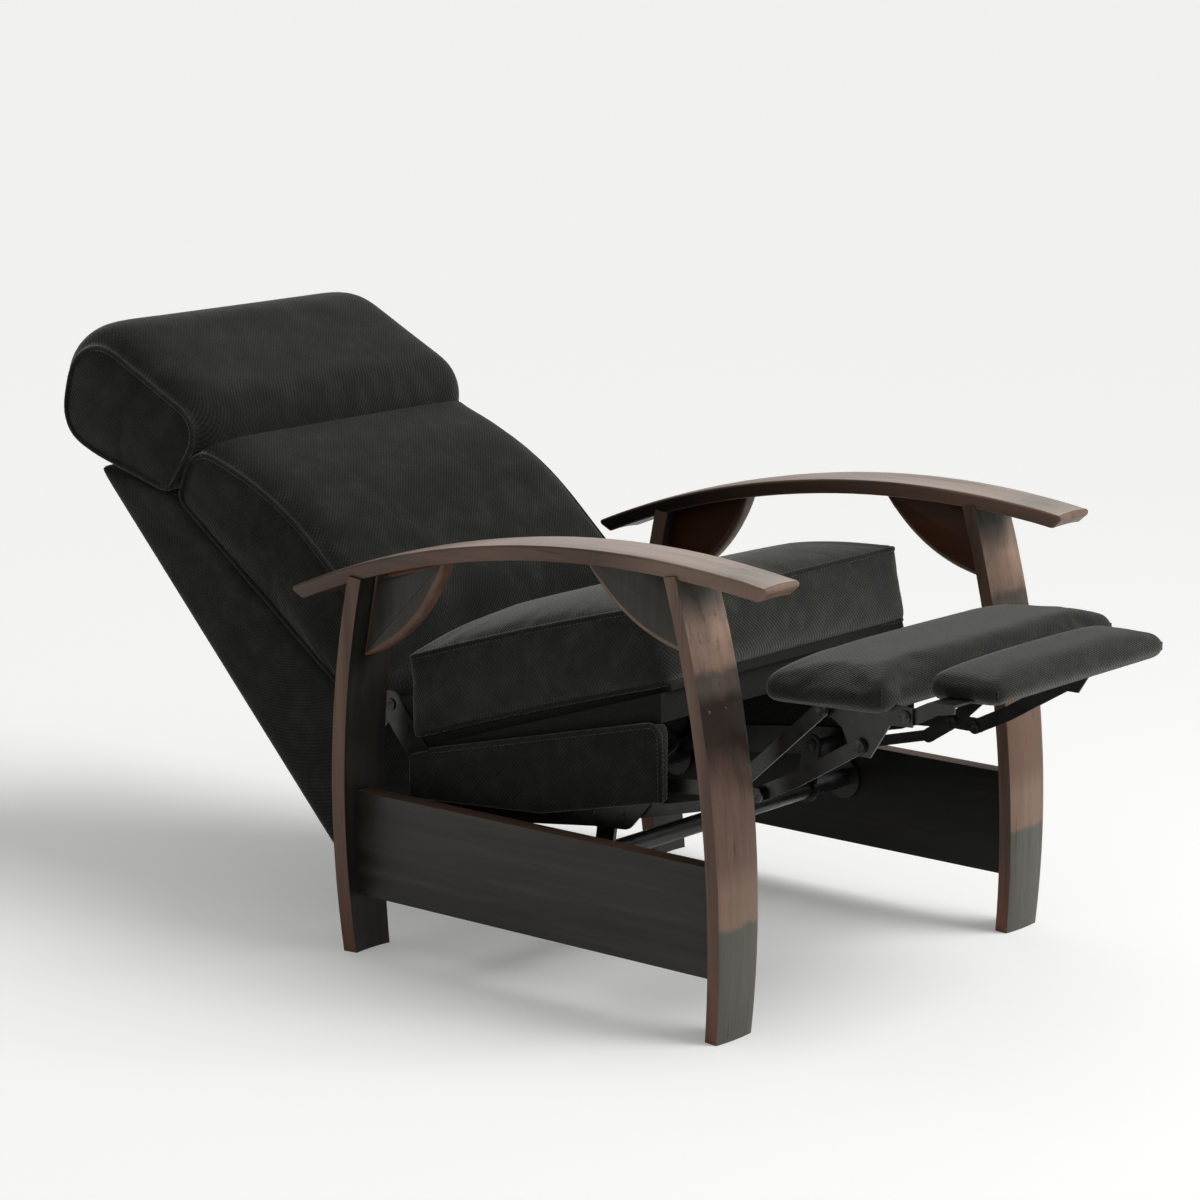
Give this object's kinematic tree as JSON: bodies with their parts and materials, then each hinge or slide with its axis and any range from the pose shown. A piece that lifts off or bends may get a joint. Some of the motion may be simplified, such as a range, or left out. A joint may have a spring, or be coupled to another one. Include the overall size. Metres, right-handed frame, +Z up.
{
  "type": "barrel recliner",
  "caption": "Push-back reclining lounge chair with bowed barrel-stave arms and legs, dark fabric cushions, a head roll and a fold-out footrest on an open steel linkage.",
  "frame": {"origin": "on the floor, under the middle of the reclined chair's bounding box", "axes": "+Z up, -Y the way the sitter faces, +X to the sitter's left"},
  "size_m": [0.742, 1.6023, 0.7868],
  "materials": {
    "stave_wood": "aged oak stave, waxed",
    "dark_wood": "charred oak, satin",
    "inner_wood": "bare board",
    "upholstery": "charcoal woven chenille",
    "black_steel": "black paint, satin",
    "rivet_steel": "black rivet, worn"
  },
  "bodies": {
    "frame": {"arm_left": "stave_wood", "arm_right": "stave_wood", "front_corbel_left": "dark_wood", "front_corbel_right": "dark_wood", "front_leg_left": "stave_wood", "front_leg_right": "stave_wood", "front_tube": "black_steel", "rear_corbel_left": "dark_wood", "rear_corbel_right": "dark_wood", "rear_leg_left": "stave_wood", "rear_leg_right": "stave_wood", "rear_tube": "black_steel", "side_rail_left": "dark_wood", "side_rail_right": "dark_wood"},
    "front_swing": {"front_swing_link_left": "black_steel", "front_swing_link_right": "black_steel"},
    "rear_swing": {"rear_swing_link_left": "black_steel", "rear_swing_link_right": "black_steel"},
    "seat": {"seat_apron_left": "upholstery", "seat_apron_right": "upholstery", "seat_cushion": "upholstery", "seat_deck": "inner_wood", "seat_front_rail": "inner_wood", "seat_plate_left": "black_steel", "seat_plate_right": "black_steel", "seat_rear_rail": "inner_wood", "seat_rivets": "rivet_steel", "seat_side_rail_left": "inner_wood", "seat_side_rail_right": "inner_wood"},
    "back": {"back_bracket_left": "black_steel", "back_bracket_right": "black_steel", "back_crest": "upholstery", "back_cushion": "upholstery", "back_deck": "upholstery", "back_foot": "upholstery", "back_panel": "upholstery", "back_side_left": "upholstery", "back_side_right": "upholstery", "head_roll": "upholstery"},
    "crank": {"crank_left": "black_steel", "crank_right": "black_steel", "crank_rivets": "rivet_steel"},
    "upper_link": {"upper_link_left": "black_steel", "upper_link_right": "black_steel", "upper_rivets": "rivet_steel"},
    "lower_link": {"lower_link_left": "black_steel", "lower_link_right": "black_steel", "lower_studs": "rivet_steel"},
    "idler": {"idler_link_left": "black_steel", "idler_link_right": "black_steel", "idler_studs": "rivet_steel"},
    "ottoman": {"ottoman_board": "inner_wood", "ottoman_bracket_left": "black_steel", "ottoman_bracket_right": "black_steel", "ottoman_pad": "upholstery", "ottoman_rivets": "rivet_steel"},
    "flipper": {"flipper_board": "inner_wood", "flipper_bracket_left": "black_steel", "flipper_bracket_right": "black_steel", "flipper_pad": "upholstery"}
  },
  "joints": [
    {"name": "front_swing_turn", "type": "hinge", "parent": "frame", "child": "front_swing", "pos_m": [0, -0.191, 0.172], "axis": [1, 0, 0], "range_deg": [-50.21, 0]},
    {"name": "rear_swing_turn", "type": "hinge", "parent": "frame", "child": "rear_swing", "pos_m": [0, 0.119, 0.157], "axis": [1, 0, 0], "range_deg": [-50.21, 0]},
    {"name": "seat_tilt", "type": "hinge", "parent": "front_swing", "child": "seat", "pos_m": [0, -0.201, 0.239], "axis": [1, 0, 0], "range_deg": [0, 60.21]},
    {"name": "recline", "type": "hinge", "parent": "seat", "child": "back", "pos_m": [0, 0.164, 0.33], "axis": [1, 0, 0], "range_deg": [0, 26.6]},
    {"name": "footrest", "type": "hinge", "parent": "seat", "child": "crank", "pos_m": [0, -0.298, 0.292], "axis": [1, 0, 0], "range_deg": [0, 82]},
    {"name": "upper_turn", "type": "hinge", "parent": "crank", "child": "upper_link", "pos_m": [0, -0.426, 0.303], "axis": [1, 0, 0], "range_deg": [-124.82, 0]},
    {"name": "ottoman_turn", "type": "hinge", "parent": "upper_link", "child": "ottoman", "pos_m": [0, -0.569, 0.432], "axis": [1, 0, 0], "range_deg": [0, 129.02]},
    {"name": "lower_turn", "type": "hinge", "parent": "crank", "child": "lower_link", "pos_m": [0, -0.468, 0.303], "axis": [1, 0, 0], "range_deg": [-151.65, 0]},
    {"name": "idler_turn", "type": "hinge", "parent": "seat", "child": "idler", "pos_m": [0, -0.254, 0.243], "axis": [1, 0, 0], "range_deg": [0, 77.94]},
    {"name": "flipper_turn", "type": "hinge", "parent": "ottoman", "child": "flipper", "pos_m": [0, -0.691, 0.438], "axis": [1, 0, 0], "range_deg": [0, 161.82]}
  ],
  "couplings": [
    {"joint": "front_swing_turn", "follows": "recline", "ratio": -1.88},
    {"joint": "rear_swing_turn", "follows": "recline", "ratio": -1.88},
    {"joint": "seat_tilt", "follows": "recline", "ratio": 2.256},
    {"joint": "upper_turn", "follows": "footrest", "ratio": -1.5197},
    {"joint": "ottoman_turn", "follows": "footrest", "ratio": 1.571},
    {"joint": "lower_turn", "follows": "footrest", "ratio": -1.847},
    {"joint": "idler_turn", "follows": "footrest", "ratio": 0.948},
    {"joint": "flipper_turn", "follows": "footrest", "ratio": 1.971}
  ]
}
